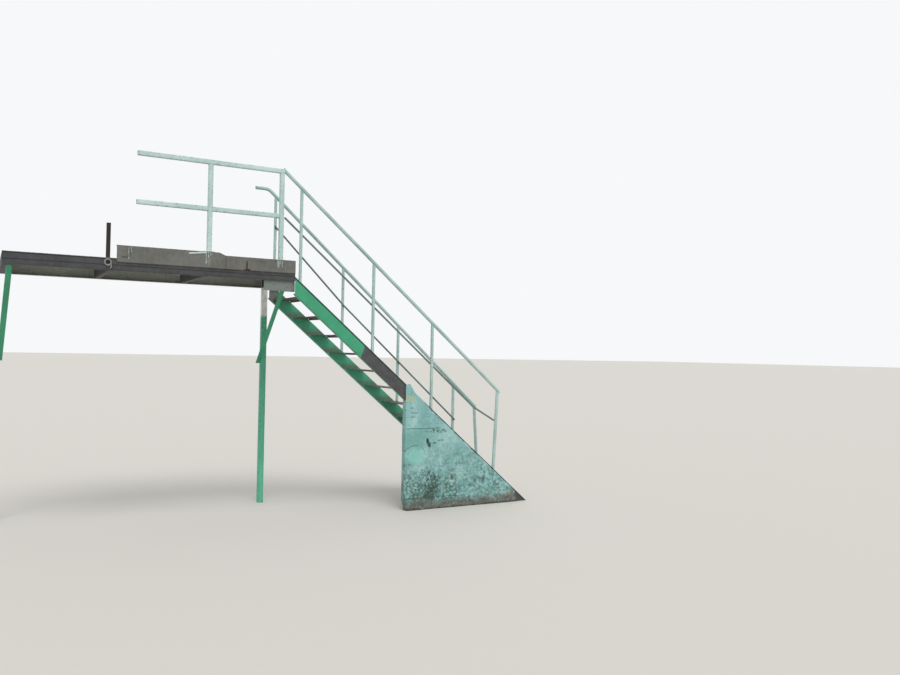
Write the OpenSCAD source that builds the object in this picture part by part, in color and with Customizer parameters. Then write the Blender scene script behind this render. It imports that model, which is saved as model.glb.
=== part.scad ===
// Workshop stair with landing: steel flight on a rendered masonry wall, all sizes in mm.
// X runs down the flight, Y runs to the wall behind, Z is up. Origin: middle of the wall's underside.

/* [Flight] */
// Height of each step
riser = 185; // [150:1:220]
// Height of the last step up to the landing
top_riser = 252; // [200:1:290]
// Distance from one nosing to the next
going = 217; // [190:1:280]
// Number of treads below the landing
tread_count = 12; // [6:1:16]
// Clear width between the two stringers, from the near flanges to the far web
flight_w = 787; // [500:1:1200]
// Depth of a tread from nosing to rear edge
tread_d = 190; // [150:1:260]
// Height of a tread's turned-down lips
tread_lip = 30; // [15:1:60]
// Thickness of the tread plate
tread_t = 5; // [3:0.5:10]
// How far the nosings stand in front of the stringers' top edge
nosing_out = 21; // [0:1:40]
// From the landing's end to the first nosing
first_nosing = 240; // [200:1:320]

/* [Stringers] */
// Height of the channel, square to its length
stringer_h = 133; // [100:1:200]
// Width of the channel's flanges
stringer_b = 50; // [35:1:80]
// Thickness of the web
web_t = 6; // [4:0.5:10]
// Thickness of the flanges
flange_t = 8; // [5:0.5:14]

/* [Landing] */
// Length of the landing
landing_l = 2547; // [1800:1:4000]
// Depth of the landing from its front edge to the wall side
landing_d = 1150; // [950:1:1600]
// Thickness of the deck plate
deck_t = 5; // [3:0.5:10]
// Height of the beams under the deck
beam_h = 105; // [70:1:160]
// Width of the beams
beam_b = 50; // [40:1:80]
// Number of joists between the end beams
joist_count = 2; // [1:1:4]
// Thickness of the folded kerb plate in front of the landing
kerb_t = 6; // [4:1:10]
// Depth of the kerb's top flange
kerb_b = 45; // [42:1:80]
// How far the kerb hangs below the deck's top
kerb_lap = 37; // [15:1:80]
// Height of the kerb above the deck beside the stair
kerb_h = 94; // [60:1:200]
// How much higher the kerb is further on
kerb_rise = 25; // [10:1:60]
// Length of the slope at the higher kerb's end
kerb_ramp = 60; // [20:1:150]
// Length of the kerb beside the stair
kerb_l = 686; // [300:1:1000]
// Length of the higher kerb
kerb2_l = 966; // [400:1:1300]

/* [Guards] */
// Height of the guard above the deck, to the middle of its top rail
guard_h = 966; // [850:1:1200]
// Height of the guard's middle rail above the deck
guard_mid = 524; // [300:1:700]
// Side of the guard's square tubes
guard_tube = 42; // [30:1:60]
// Length of the guard from its corner post
guard_l = 1345; // [800:1:1450]
// Distance between the two guard posts
guard_bay = 692; // [400:1:750]
// Distance of the corner post from the landing's end
corner_in = 150; // [60:1:250]
// Height of the cut-off post above the deck
stub_h = 310; // [100:1:600]
// Distance of the cut-off post from the corner post
stub_at = 1572; // [1450:1:1700]
// Wall of the guard's tubes
guard_wall = 3; // [2:0.5:5]
// Length of the guard post's foot plate
foot_l = 100; // [60:1:160]
// Thickness of the foot plate
foot_t = 6; // [4:1:12]

/* [Stair rails] */
// Outer diameter of the handrails
rail_od = 36; // [28:1:50]
// Wall of the handrails
rail_wall = 3; // [2:0.5:5]
// Side of the stair posts
post_s = 26; // [18:1:40]
// Wall of the stair posts
post_wall = 3; // [2:0.5:5]
// From the landing's end to the first stair post
first_post = 56; // [20:1:200]
// From the first stair post to the second
post_bay_1 = 800; // [500:1:900]
// From the second stair post to the third
post_bay_2 = 706; // [500:1:800]
// Diameter of the middle rails
mid_od = 20; // [12:1:30]
// Height of the near handrail over the nosings at the top
near_rail_h = 917; // [750:1:1100]
// Height of the near handrail over the nosings at its foot
near_rail_foot_h = 907; // [750:1:1100]
// Height of the far handrail over the nosings at the top
far_rail_h = 976; // [750:1:1100]
// Height of the far handrail over the nosings at its foot
far_rail_foot_h = 852; // [750:1:1100]
// Drop from the near handrail to its middle rail
near_mid_drop = 445; // [250:1:550]
// The same drop at the near end post, where the middle rail is bent up
near_mid_foot_drop = 367; // [250:1:550]
// Length of the middle rail's bent end
near_mid_bend = 270; // [100:1:500]
// Drop from the far handrail to its middle rail, below the second post
far_mid_drop = 426; // [250:1:550]
// The same drop at the first post
far_mid_top_drop = 335; // [250:1:550]
// Length of the far handrail's level end
level_l = 141; // [60:1:300]
// How far before the landing's end the far handrail bends
level_in = 26; // [0:1:60]
// From the near end post's top to the flight's foot
near_end_in = 405; // [250:1:600]
// How far the near end post's foot stands back from its top
near_end_lean = 45; // [0:1:80]
// From the far end post's top to the flight's foot
far_end_in = 198; // [150:1:400]
// How far the far end post's foot stands out past its top
far_end_lean = 60; // [0:1:80]
// From the last far stair post to the flight's foot
far_last_in = 503; // [420:1:700]

/* [Wall and posts] */
// Length of the masonry wall under the flight
wall_l = 1430; // [900:1:1800]
// From the wall's low end to the flight's foot
wall_in = 153; // [60:1:400]
// Thickness of the wall behind the stringer's face
wall_t = 65; // [60:1:250]
// Thickness of the render in front of the stringer
render_t = 15; // [8:1:40]
// Height of the lump of mortar at the wall's top end
lump_h = 48; // [10:1:80]
// Side of the square posts at the wall side
stand_s = 60; // [40:1:100]
// Side of the knee braces' angle section
brace_s = 46; // [30:1:60]
// Thickness of the knee braces' legs
brace_t = 6; // [4:1:8]
// Reach of a knee brace under the landing
brace_reach = 1011; // [400:1:1060]
// Drop of a knee brace below the beams
brace_drop = 829; // [400:1:1000]
// From a knee brace's end to the wall side
brace_in = 20; // [0:1:40]

/* [Splice plate] */
// Length of the plate that ties the far stringer to the landing
splice_l = 280; // [150:1:400]
// Height of the plate
splice_h = 107; // [60:1:160]
// Thickness of the plate
splice_t = 8; // [5:1:15]
// Drop of the plate's top edge below the deck's top
splice_drop = 47; // [10:1:100]

/* [Hidden] */
$fn = 48;
eps = 0.5;
clear = 0.3;
slope = riser / going;
pitch = atan(slope);
mid_gap = 1;
mid_bite = 5;
// A tread's rear lip may hang below the stringers' underside
tread_under = max(0, tread_lip - stringer_h / cos(pitch) + slope * (tread_d - nosing_out));
deck_z = top_riser + riser * tread_count;
beam_z = deck_z - deck_t;
// Stations along X are measured from the corner post
end_x = corner_in;
left_x = end_x - landing_l;
nose1 = end_x + first_nosing;
function nose_x(k) = nose1 + going * (k - 1);
function tread_z(k) = deck_z - top_riser - riser * (k - 1);
function nosing_z(x) = tread_z(1) - slope * (x - nose1);
function top_z(x) = nosing_z(x + nosing_out);
stringer_v = stringer_h / cos(pitch);
flange_v = flange_t / cos(pitch);
function under_z(x) = top_z(x) - stringer_v;
foot_x = nose1 - nosing_out + tread_z(1) / slope;
heel_x = foot_x - stringer_v / slope;
far_y = stringer_b + flight_w;
guard_y = guard_tube / 2;
kerb_top = deck_z + kerb_h;
far_rail_y = far_y + stringer_b * 0.4;
post_1_x = end_x + first_post;
post_2_x = post_1_x + post_bay_1;
post_3_x = post_2_x + post_bay_2;
near_end_x = foot_x - near_end_in;
far_end_x = foot_x - far_end_in;
far_last_x = foot_x - far_last_in;
bend_x = end_x - level_in;
function mix(a, b, x, x0, x1) = a + (b - a) * (x - x0) / (x1 - x0);
function near_rail_z(x) = nosing_z(x) + mix(near_rail_h, near_rail_foot_h, x, 0, near_end_x);
function far_rail_z(x) = nosing_z(x) + mix(far_rail_h, far_rail_foot_h, x, 0, far_end_x);
near_rail_slope = near_rail_z(0) - near_rail_z(1);
far_rail_slope = far_rail_z(0) - far_rail_z(1);
near_under = rail_od / 2 / cos(atan(near_rail_slope));
far_under = rail_od / 2 / cos(atan(far_rail_slope));
wall_x = foot_x - wall_in - wall_l;
origin_x = wall_x + wall_l / 2;
origin_y = (wall_t - render_t) / 2;

module at_origin() translate([-origin_x, -origin_y, 0]) children();

// Profile in X and Z pushed along +Y from y0
module side(y0, depth) translate([0, y0 + depth, 0]) rotate([90, 0, 0]) linear_extrude(depth) children();

// Channel section in Y and Z along +X: web at y = 0, flanges to +Y
module channel_x(x0, l, h, b) translate([x0, 0, 0]) rotate([90, 0, 90]) linear_extrude(l) channel(h, b);
module channel(h, b)
  polygon([[0, 0], [b, 0], [b, flange_t * 0.7], [web_t + 4, flange_t], [web_t, flange_t + 4],
    [web_t, h - flange_t - 4], [web_t + 4, h - flange_t], [b, h - flange_t * 0.7], [b, h], [0, h]]);

module square_ring(s, w) difference() {
  translate([-s / 2, -s / 2]) square(s);
  translate([-s / 2 + w, -s / 2 + w]) square(s - 2 * w);
}

module ring(od, w) difference() {
  circle(d = od);
  circle(d = od - 2 * w);
}

// Stringers: a channel laid on the slope, cut upright at the landing and level at the floor
module stringer(y0) color("seagreen") translate([0, y0, 0]) difference() {
  side(0, stringer_b) polygon([[end_x, top_z(end_x)], [foot_x, 0], [heel_x, 0], [end_x, under_z(end_x)]]);
  x0 = end_x - going;
  x1 = foot_x + going;
  side(web_t, stringer_b) polygon([[x0, top_z(x0) - flange_v], [x1, top_z(x1) - flange_v],
    [x1, under_z(x1) + flange_v], [x0, under_z(x0) + flange_v]]);
}

// Treads: folded plates with a rounded nosing, lips down at front and rear
module tread(k) color("dimgray") side(stringer_b, flight_w) translate([nose_x(k), tread_z(k)]) difference() {
  union() {
    translate([-tread_d, -tread_lip]) square([tread_d - tread_t, tread_lip]);
    translate([-tread_t - eps, -tread_lip]) square([tread_t + eps, tread_lip - tread_t]);
    translate([-tread_t, -tread_t]) circle(tread_t);
  }
  translate([-tread_d + tread_t, -tread_lip - eps])
    square([tread_d - 2 * tread_t, tread_lip - tread_t + eps]);
}

// Masonry: a wall that fills under the near stringer, with render in front of it
module masonry_wall() color("turquoise") {
  x1 = wall_x + wall_l;
  difference() {
    side(-render_t, wall_t + render_t) polygon([[wall_x, 0], [x1, 0], [x1, top_z(x1)],
      [wall_x + 110, top_z(wall_x + 110)], [wall_x + 54, top_z(wall_x + 54) + lump_h],
      [wall_x + 24, top_z(wall_x + 54) + lump_h - 6], [wall_x, top_z(wall_x) + lump_h - 60]]);
    side(-clear, wall_t + eps + clear) polygon([
      [wall_x - going, top_z(wall_x - going) + going], [x1 + going, top_z(x1 + going) + going],
      [x1 + going, under_z(x1 + going) - clear - tread_under],
      [wall_x - going, under_z(wall_x - going) - clear - tread_under]]);
  }
}

// Pipe along X and Z with its middle at y
module slope_pipe(x0, z0, drop, x1, y) translate([x0, y, z0]) rotate([0, 90 + atan(drop), 0])
  linear_extrude((x1 - x0) / cos(atan(drop))) ring(rail_od, rail_wall);

module below(x0, x1, z0, drop, y0) side(y0 - rail_od, 2 * rail_od)
  polygon([[x0, z0], [x1, z0 - drop * (x1 - x0)], [x1, -riser], [x0, -riser]]);

module near_handrail() color("mediumaquamarine") {
  x0 = guard_tube / 2;
  difference() {
    slope_pipe(0, near_rail_z(0), near_rail_slope, near_end_x + rail_od, guard_y);
    translate([x0 - going, guard_y - rail_od, near_rail_z(0) - going]) cube([going, 2 * rail_od, 2 * going]);
    translate([near_end_x + rail_od / 2, guard_y - rail_od, near_rail_z(near_end_x) - going])
      cube([going, 2 * rail_od, 2 * going]);
  }
}

// Leaning post of the same pipe, cut on the slope under the rail and on the stringer
module end_post(x, y, rail_z, rail_drop, under, lean) color("mediumaquamarine") difference() {
  tall = rail_z - top_z(x);
  translate([x, y, rail_z]) rotate([0, -atan(lean / tall), 0]) translate([0, 0, -tall - going])
    linear_extrude(tall + going + 2 * rail_od) ring(rail_od, rail_wall);
  below(x - going, x + going, top_z(x - going), slope, y);
  cut_z = rail_z - under - clear;
  side(y - rail_od, 2 * rail_od) polygon([
    [x - going, cut_z + rail_drop * going], [x + going, cut_z - rail_drop * going],
    [x + going, rail_z + going], [x - going, rail_z + going]]);
}
module near_end_post() end_post(near_end_x, guard_y, near_rail_z(near_end_x), near_rail_slope,
  near_under, -near_end_lean);
module far_end_post() end_post(far_end_x, far_rail_y, far_rail_z(far_end_x), far_rail_slope,
  far_under, far_end_lean);

// Square tube between the stringer's top flange and the handrail's underside, cut on both slopes
module stair_post(x, y, rail_z, rail_drop, under) color("mediumaquamarine") {
  r = post_s / 2;
  intersection() {
    translate([x, y, 0]) linear_extrude(rail_z) square_ring(post_s, post_wall);
    side(y - post_s, 2 * post_s) polygon([[x - r, top_z(x - r)], [x + r, top_z(x + r)],
      [x + r, rail_z - under - rail_drop * r], [x - r, rail_z - under + rail_drop * r]]);
  }
}
module near_post(x) stair_post(x, guard_y, near_rail_z(x), near_rail_slope, near_under);
module far_post(x) stair_post(x, far_rail_y, far_rail_z(x), far_rail_slope, far_under);

module round_bar(x0, z0, drop, x1, y) translate([x0, y, z0]) rotate([0, 90 + atan(drop), 0])
  cylinder(d = mid_od, h = (x1 - x0) / cos(atan(drop)));

// Beside the posts, with its foot end bent up; both bars are cut on the mitre between them
module near_mid_rail() color("mediumaquamarine") {
  y = guard_y + post_s / 2 + mid_od / 2;
  x0 = guard_tube / 2 + mid_od;
  x2 = near_end_x - near_end_lean * near_mid_foot_drop / near_rail_foot_h - rail_od / 2 + mid_bite;
  x1 = x2 - near_mid_bend;
  z1 = near_rail_z(x1) - near_mid_drop;
  bent_slope = (z1 - near_rail_z(x2) + near_mid_foot_drop) / near_mid_bend;
  turn = (atan(near_rail_slope) + atan(bent_slope)) / 2;
  difference() {
    round_bar(x0, near_rail_z(x0) - near_mid_drop, near_rail_slope, x1 + mid_od, y);
    translate([x1, y, z1]) rotate([0, turn, 0]) translate([0, -mid_od, -going])
      cube([going, 2 * mid_od, 2 * going]);
  }
  difference() {
    round_bar(x1 - mid_od, z1 + mid_od * bent_slope, bent_slope, x2, y);
    translate([x1, y, z1]) rotate([0, turn, 0]) translate([-going, -mid_od, -going])
      cube([going, 2 * mid_od, 2 * going]);
  }
}

// Two bars, butted on the second post: the upper one is steeper than the handrail
module far_mid_rail() color("mediumaquamarine") {
  y = far_rail_y - post_s / 2 - mid_od / 2;
  x0 = post_1_x - post_s / 2;
  z0 = far_rail_z(x0) - far_mid_top_drop;
  z1 = far_rail_z(post_2_x) - far_mid_drop;
  round_bar(x0, z0, (z0 - z1) / (post_2_x - x0), post_2_x - mid_gap, y);
  round_bar(post_2_x + mid_gap, z1 - mid_gap * far_rail_slope, far_rail_slope, far_last_x + post_s / 2, y);
}

// The far handrail starts with a level end, mitred to the sloping pipe
module far_handrail() color("mediumaquamarine") {
  z0 = far_rail_z(bend_x);
  difference() {
    translate([bend_x - level_l, far_rail_y, z0]) rotate([0, 90, 0]) linear_extrude(level_l + rail_od)
      ring(rail_od, rail_wall);
    past_mitre(z0, going);
  }
  difference() {
    intersection() {
      slope_pipe(bend_x - rail_od, z0 + rail_od * far_rail_slope, far_rail_slope,
        far_end_x + rail_od, far_rail_y);
      past_mitre(z0, 2 * far_end_x);
    }
    translate([far_end_x + rail_od / 2, far_rail_y - rail_od, far_rail_z(far_end_x) - going])
      cube([going, 2 * rail_od, 2 * going]);
  }
}
module past_mitre(z, l) translate([bend_x, far_rail_y, z]) rotate([0, atan(far_rail_slope) / 2, 0])
  translate([0, -rail_od, -far_end_x]) cube([l, 2 * rail_od, 2 * far_end_x]);

// Landing frame: the kerb hangs in front of the front beam and of the deck's edge
module front_beam() color("dimgray") translate([0, kerb_t, beam_z - beam_h])
  channel_x(left_x, landing_l, beam_h, beam_b);
module back_beam() color("dimgray") translate([0, landing_d, beam_z - beam_h]) mirror([0, 1, 0])
  channel_x(left_x, landing_l, beam_h, beam_b);
module cross_beam(x) translate([x, landing_d - beam_b, beam_z - beam_h]) rotate([0, 0, -90])
  channel_x(0, landing_d - 2 * beam_b - kerb_t, beam_h, beam_b);
module header_beam() color("dimgray") translate([end_x, 0, 0]) mirror([1, 0, 0]) cross_beam(0);
module end_beam() color("dimgray") cross_beam(left_x);
module joists() color("dimgray") for (i = [1:joist_count])
  cross_beam(left_x + (landing_l - beam_b) * i / (joist_count + 1));
module deck_plate() color("gray") translate([left_x, kerb_t, beam_z])
  cube([landing_l, landing_d - kerb_t, deck_t]);

// Kerb: folded plate with a flange to the back, its top given as points from left to right
module kerb(top) color("silver") difference() {
  x0 = top[0][0];
  x1 = top[len(top) - 1][0];
  side(0, kerb_b) polygon(concat(top, [[x1, deck_z - kerb_lap], [x0, deck_z - kerb_lap]]));
  side(kerb_t, kerb_b) translate([0, -kerb_t]) polygon(concat(
    [[x0 - kerb_b, top[0][1]]], top, [[x1 + kerb_b, top[len(top) - 1][1]]],
    [[x1 + kerb_b, deck_z - kerb_b], [x0 - kerb_b, deck_z - kerb_b]]));
}
module kerb_low() kerb([[end_x - kerb_l, kerb_top], [end_x, kerb_top]]);
module kerb_high() {
  x1 = end_x - kerb_l;
  kerb([[x1 - kerb2_l, kerb_top + kerb_rise], [x1 - kerb_ramp, kerb_top + kerb_rise], [x1, kerb_top]]);
}

// Plate on the far stringer's web, welded to the landing's end
module splice_plate() color("slategray") translate([end_x, far_y - splice_t, deck_z - splice_drop - splice_h])
  cube([splice_l, splice_t, splice_h]);

// Guard in square tube; the rails run to the corner post and stand free at their other end
module tube_x(x0, x1, z) translate([x0, guard_y, z]) rotate([90, 0, 90]) linear_extrude(x1 - x0)
  square_ring(guard_tube, guard_wall);
module guard_top_rail() color("mediumaquamarine") tube_x(-guard_l, guard_tube / 2, deck_z + guard_h);
module guard_mid_rail() color("mediumaquamarine") difference() {
  tube_x(-guard_l, -guard_tube / 2, deck_z + guard_mid);
  translate([-guard_bay - guard_tube / 2, guard_y - guard_tube, deck_z])
    cube([guard_tube, 2 * guard_tube, guard_h]);
}
module upright(x, z0, z1) translate([x, guard_y, z0]) linear_extrude(z1 - z0)
  square_ring(guard_tube, guard_wall);
module guard_post() color("mediumaquamarine") {
  z0 = kerb_top + kerb_rise;
  upright(-guard_bay, z0 + foot_t, deck_z + guard_h - guard_tube / 2);
  translate([-guard_bay - foot_l / 2, 0, z0]) cube([foot_l, kerb_b, foot_t]);
}
module corner_post() color("mediumaquamarine") upright(0, kerb_top, deck_z + guard_h - guard_tube / 2);
module stub_post() color("saddlebrown") translate([0, kerb_t, 0]) upright(-stub_at, deck_z, deck_z + stub_h);

// Posts and knee braces at the wall side
module stand(x) color("seagreen") translate([x, landing_d - stand_s, 0])
  linear_extrude(beam_z) translate([stand_s / 2, stand_s / 2]) square_ring(stand_s, 5);
module stand_right() stand(end_x);
module stand_left() stand(left_x - stand_s);
// Angle section on the slope in Y and Z: one leg upright against the post, one below
module knee_brace() color("seagreen") {
  y1 = landing_d - brace_in;
  y0 = y1 - brace_reach;
  z1 = beam_z - beam_h;
  drop = brace_drop / brace_reach;
  rise = brace_s / cos(atan(drop));
  leg = brace_t / cos(atan(drop));
  rotate([90, 0, 90]) difference() {
    linear_extrude(brace_s) polygon([
      [y0, z1], [y0 + rise / drop, z1], [y1, z1 - brace_drop + rise], [y1, z1 - brace_drop]]);
    translate([0, 0, -eps]) linear_extrude(brace_s - brace_t + eps) polygon([
      [y0 - brace_s, z1 + brace_s * drop + leg], [y1 + brace_s, z1 - brace_drop - brace_s * drop + leg],
      [y1 + brace_s, z1 + brace_s], [y0 - brace_s, z1 + 2 * brace_s]]);
  }
}
module knee_brace_right() translate([end_x - brace_s, 0, 0]) knee_brace();
module knee_brace_left() translate([left_x + brace_s, 0, 0]) mirror([1, 0, 0]) knee_brace();

at_origin() masonry_wall();
at_origin() stringer(0);  // near_stringer
at_origin() stringer(far_y);  // far_stringer
at_origin() splice_plate();
for (k = [1:tread_count]) at_origin() tread(k);
at_origin() near_handrail();
at_origin() near_end_post();
at_origin() near_mid_rail();
at_origin() near_post(post_1_x);  // near_post_1
at_origin() near_post(post_2_x);  // near_post_2
at_origin() near_post(post_3_x);  // near_post_3
at_origin() far_handrail();
at_origin() far_end_post();
at_origin() far_mid_rail();
at_origin() far_post(post_1_x);  // far_post_1
at_origin() far_post(post_2_x);  // far_post_2
at_origin() far_post(post_3_x);  // far_post_3
at_origin() far_post(far_last_x);  // far_post_4
at_origin() front_beam();
at_origin() back_beam();
at_origin() header_beam();
at_origin() end_beam();
at_origin() joists();
at_origin() deck_plate();
at_origin() kerb_low();
at_origin() kerb_high();
at_origin() guard_top_rail();
at_origin() guard_mid_rail();
at_origin() guard_post();
at_origin() corner_post();
at_origin() stub_post();
at_origin() stand_right();
at_origin() stand_left();
at_origin() knee_brace_right();
at_origin() knee_brace_left();
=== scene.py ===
import math

import bmesh
import bpy
from mathutils import Matrix, Vector, noise


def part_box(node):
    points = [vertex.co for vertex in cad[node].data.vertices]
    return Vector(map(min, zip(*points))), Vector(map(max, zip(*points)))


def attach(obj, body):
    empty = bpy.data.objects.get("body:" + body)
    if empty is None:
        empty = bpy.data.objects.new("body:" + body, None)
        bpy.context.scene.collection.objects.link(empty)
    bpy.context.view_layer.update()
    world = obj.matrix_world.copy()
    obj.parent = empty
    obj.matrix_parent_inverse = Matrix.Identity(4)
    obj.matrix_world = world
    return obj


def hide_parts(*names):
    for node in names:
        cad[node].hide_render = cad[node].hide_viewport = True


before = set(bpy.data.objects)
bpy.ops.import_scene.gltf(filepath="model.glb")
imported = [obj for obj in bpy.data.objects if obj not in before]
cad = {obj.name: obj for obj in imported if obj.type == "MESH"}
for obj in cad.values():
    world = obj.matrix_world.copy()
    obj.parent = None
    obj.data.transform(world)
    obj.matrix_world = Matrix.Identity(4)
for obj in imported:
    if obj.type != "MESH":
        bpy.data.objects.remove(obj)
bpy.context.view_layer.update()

print("frame loaded:", len(cad), "nodes")

camera = {"location": (-4.627, -7.784, 1.684), "yaw": -0.5202, "pitch": 0.0188, "roll": 0.0183,
          "focalPixels": 816.79, "photoWidth": 900, "sensor": 36}


def makeCamera(c):
    data = bpy.data.cameras.new("camera")
    data.sensor_width = c["sensor"]
    data.lens = c["focalPixels"] / c["photoWidth"] * c["sensor"]
    obj = bpy.data.objects.new("camera", data)
    bpy.context.scene.collection.objects.link(obj)
    cy, sy, cp, sp = math.cos(c["yaw"]), math.sin(c["yaw"]), math.cos(c["pitch"]), math.sin(c["pitch"])
    forward = Vector((-sy * cp, cy * cp, sp))
    right = Vector((cy, sy, 0))
    up = right.cross(forward)
    cr, sr = math.cos(c["roll"]), math.sin(c["roll"])
    axes = Matrix((cr * right + sr * up, cr * up - sr * right, -forward)).transposed()
    obj.matrix_world = Matrix.Translation(c["location"]) @ axes.to_4x4()
    bpy.context.scene.camera = obj


makeCamera(camera)
print("camera set")


# Shader maths as plain Python: a Sock wraps one output, and each sum on it adds a Math node
class Sock:
    def __init__(self, finish, out):
        self.finish = finish
        self.out = out

    def math(self, operation, *others):
        return self.finish.node("Math", {"operation": operation}, dict(enumerate((self,) + others)))

    def __add__(self, other):
        return self.math("ADD", other)

    def __sub__(self, other):
        return self.math("SUBTRACT", other)

    def __mul__(self, other):
        return self.math("MULTIPLY", other)

    def __truediv__(self, other):
        return self.math("DIVIDE", other)

    def __rsub__(self, other):
        return (self * -1).math("ADD", other)

    __radd__, __rmul__ = __add__, __mul__

    def fade(self, low, high):  # 0 below low, 1 above high, soft between; low may be the larger
        return self.finish.node("MapRange", {"interpolation_type": "SMOOTHSTEP"},
                                {"Value": self, "From Min": low, "From Max": high})

    def most(self, other):
        return self.math("MAXIMUM", other)

    def least(self, other):
        return self.math("MINIMUM", other)


# The nodes of one material or of the sky; a socket takes a link, a number or a "#rrggbb" colour
class Finish:
    def __init__(self, tree):
        self.tree = tree
        tree.nodes.clear()

    def node(self, kind, settings=None, sockets=None, output=0):
        made = self.tree.nodes.new("ShaderNode" + kind)
        for key, value in (settings or {}).items():
            setattr(made, key, value)
        for key, value in (sockets or {}).items():
            if isinstance(value, Sock):
                self.tree.links.new(value.out, made.inputs[key])
            else:
                made.inputs[key].default_value = tone(value) if isinstance(value, str) else value
        return Sock(self, made.outputs[output] if made.outputs else None)

    def mix(self, amount, a, b):
        return self.node("Mix", {"data_type": "RGBA"}, {0: amount, 6: a, 7: b}, 2)

    def place(self, stretch=(1, 1, 1)):
        where = self.node("TexCoord", output=3)
        if stretch == (1, 1, 1):
            return where
        return self.node("VectorMath", {"operation": "MULTIPLY"}, {0: where, 1: stretch})

    def noise(self, scale, detail=3, rough=0.55, stretch=(1, 1, 1)):
        return self.node("TexNoise", {}, {"Vector": self.place(stretch), "Scale": scale, "Detail": detail,
                                          "Roughness": rough})

    def axes(self):
        parts = self.node("SeparateXYZ", {}, {0: self.place()})
        return [Sock(self, parts.out.node.outputs[i]) for i in range(3)]

    def wear(self):  # 1 on worn edges, written into the meshes below
        return self.node("Attribute", {"attribute_name": "wear"}, output=2)


def tone(code):  # "#rrggbb" as seen on a screen, to the linear colour that Blender wants
    parts = [int(code[i:i + 2], 16) / 255 for i in (1, 3, 5)]
    return tuple(p / 12.92 if p <= 0.04045 else ((p + 0.055) / 1.055) ** 2.4 for p in parts) + (1,)


def away(x, z, cx, cz):  # distance from a point of the front face
    return ((x - cx).math("POWER", 2) + (z - cz).math("POWER", 2)).math("SQRT")


def oval(x, z, cx, cz, wide, tall):  # 0 in the middle of an oval mark, 1 on its edge
    return ((x - cx) / wide).math("POWER", 2) + ((z - cz) / tall).math("POWER", 2)


def makeMaterial(name, paint, gloss):
    mat = bpy.data.materials.new(name)
    mat.use_nodes = True
    f = Finish(mat.node_tree)
    look = paint(f)
    shader = {"Base Color": look["color"], "Roughness": look["rough"], **gloss}
    if "metal" in look:
        shader["Metallic"] = look["metal"]
    if "bump" in look:
        shader["Normal"] = f.node("Bump", {}, {"Height": look["bump"], "Distance": look["depth"]})
    f.node("OutputMaterial", {}, {"Surface": f.node("BsdfPrincipled", {}, shader)})
    return mat


# Paint over steel: large patches of tone, small chips down to primer or rust, worn edges, dust
def steelPaint(f, p):
    broad = f.noise(2.1, 4, 0.6).fade(0.38, 0.64)
    fine = f.noise(31, 4, 0.6).fade(0.35, 0.7)
    color = f.mix(broad, p["shade"], p["paint"])
    color = f.mix(fine * 0.25, color, p["light"])
    edge = f.wear() * f.noise(58, 3, 0.7).fade(0.5 - p["edgeWear"], 0.62 - p["edgeWear"])
    chips = f.noise(90, 2, 0.6).fade(0.64, 0.69) * f.noise(5, 2).fade(0.47, 0.62) * p["chips"]
    bare = edge.most(chips)
    rusty = f.noise(23, 3).fade(0.4, 0.6) * p["rusty"]
    color = f.mix(bare, color, f.mix(rusty, p["primer"], p["rust"]))
    runs = f.noise(9, 3, 0.6, (6, 6, 0.5)).fade(0.56, 0.74) * p["runs"]
    color = f.mix(runs, color, p["grimeAndShade"])
    height = 1 - bare * 0.6 + f.noise(240, 2) * 0.12 + f.noise(14, 2) * 0.3
    rough = f.noise(45, 3).fade(0.2, 0.8) * 0.16 + p["rough"] + bare * 0.25
    return {"color": color, "rough": rough, "bump": height, "depth": 0.0006}


def over(f, look, mask, color):  # lay a colour over a look where the mask is 1
    look["color"] = f.mix(mask, look["color"], color)


def coat(p, **changes):
    return lambda f: steelPaint(f, dict(p, **changes))


emerald = dict(paint="#3fa57c", shade="#379870", light="#54b28b", primer="#4d5a54", rust="#5e4436",
               grimeAndShade="#35594b", edgeWear=-0.03, chips=0.5, runs=0.16, rough=0.42, rusty=0.6)
mint = dict(paint="#b3cec9", shade="#98b9b3", light="#d3e4e1", primer="#6f8b84", rust="#6c5548",
            grimeAndShade="#64877e", edgeWear=-0.06, chips=0.45, runs=0.18, rough=0.38, rusty=0.7)
guardMint = dict(paint="#c5dcd8", shade="#acc9c4", light="#dceae8", primer="#86998f", rust="#7d6454",
                 grimeAndShade="#84998f", edgeWear=-0.05, chips=0.45, runs=0.3, rough=0.4, rusty=0.6)
greyMint = dict(paint="#6f8580", shade="#5d716c", light="#93a8a2", primer="#4c5855", rust="#5f4a3e",
                grimeAndShade="#4b5b56", edgeWear=0.0, chips=0.7, runs=0.3, rough=0.45, rusty=0.6)
darkSteel = dict(paint="#4b4c4e", shade="#404143", light="#646567", primer="#3f3f3f", rust="#54443a",
                 grimeAndShade="#3e3e3d", edgeWear=0.02, chips=0.4, runs=0.3, rough=0.55, rusty=0.6)
# paler than the other steel: painted light for the back beam in the deck's shade, standing in for a lit wall
paleLitSteel = dict(paint="#a3a7a0", shade="#92968f", light="#b9bdb6", primer="#6c6f6a", rust="#6b594c",
                 grimeAndShade="#74776f", edgeWear=0.0, chips=0.5, runs=0.4, rough=0.6, rusty=0.6)
kerbSteel = dict(paint="#72726e", shade="#676763", light="#8a8a85", primer="#4f4f4c", rust="#65493c",
                 grimeAndShade="#535350", edgeWear=0.0, chips=0.45, runs=0.28, rough=0.55, rusty=0.6)
brown = dict(paint="#35292b", shade="#2a2123", light="#4a3d3c", primer="#40302c", rust="#513a2d",
             grimeAndShade="#2b2525", edgeWear=0.05, chips=1.0, runs=0.2, rough=0.6, rusty=1.0)
treadSteel = dict(paint="#544a47", shade="#443c3a", light="#6b615d", primer="#686461", rust="#584339",
                  grimeAndShade="#2f2b2a", edgeWear=0.08, chips=0.9, runs=0.2, rough=0.5, rusty=0.7)
plateGrey = dict(paint="#79817d", shade="#6d7571", light="#8f9692", primer="#5a5f5d", rust="#665449",
                 grimeAndShade="#5b605d", edgeWear=-0.04, chips=0.25, runs=0.35, rough=0.55, rusty=0.5)

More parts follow.
